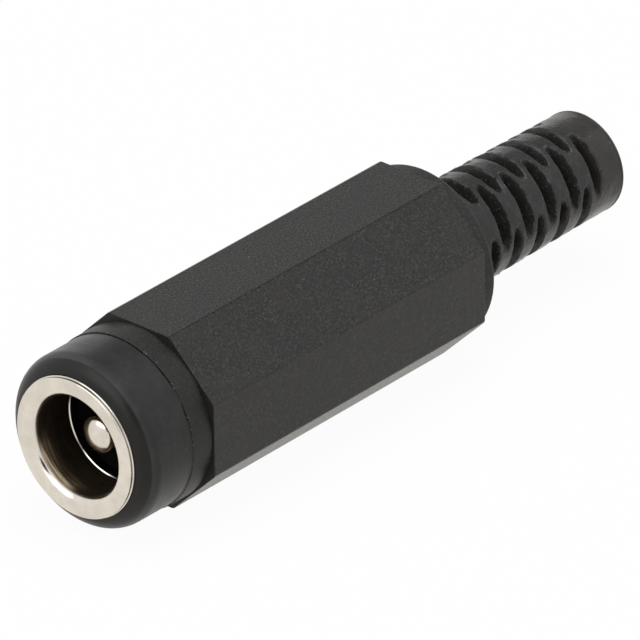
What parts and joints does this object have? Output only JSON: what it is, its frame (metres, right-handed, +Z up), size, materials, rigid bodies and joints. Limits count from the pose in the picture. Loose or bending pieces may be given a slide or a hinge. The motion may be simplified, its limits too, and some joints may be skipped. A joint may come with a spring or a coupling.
{
  "type": "inline dc power socket",
  "caption": "In-line low-voltage socket for a cable: metal-lined mouth with a centre pin, octagonal screw-on grip and a slotted bend relief with a cable entry.",
  "frame": {"origin": "middle of the resting flat's plane, under the middle of the overall length", "axes": "+X along the socket towards the cable entry, so the mouth faces -X; +Z up from the flat that it lies on"},
  "size_m": [0.0408, 0.0102, 0.0102],
  "materials": {
    "grip_plastic": "fine spark-eroded grain",
    "nose_plastic": "smooth satin",
    "plated_metal": "polished plating",
    "spring_bronze": "rolled strip",
    "washer_fibre": "pressed fibre"
  },
  "bodies": {
    "root": {"grip_cover": "grip_plastic", "nose_body": "nose_plastic", "mouth_bush": "plated_metal", "centre_pin": "plated_metal", "sleeve_spring": "spring_bronze", "sleeve_tag": "plated_metal", "insulating_washer": "washer_fibre", "pin_tag": "plated_metal"}
  },
  "joints": []
}
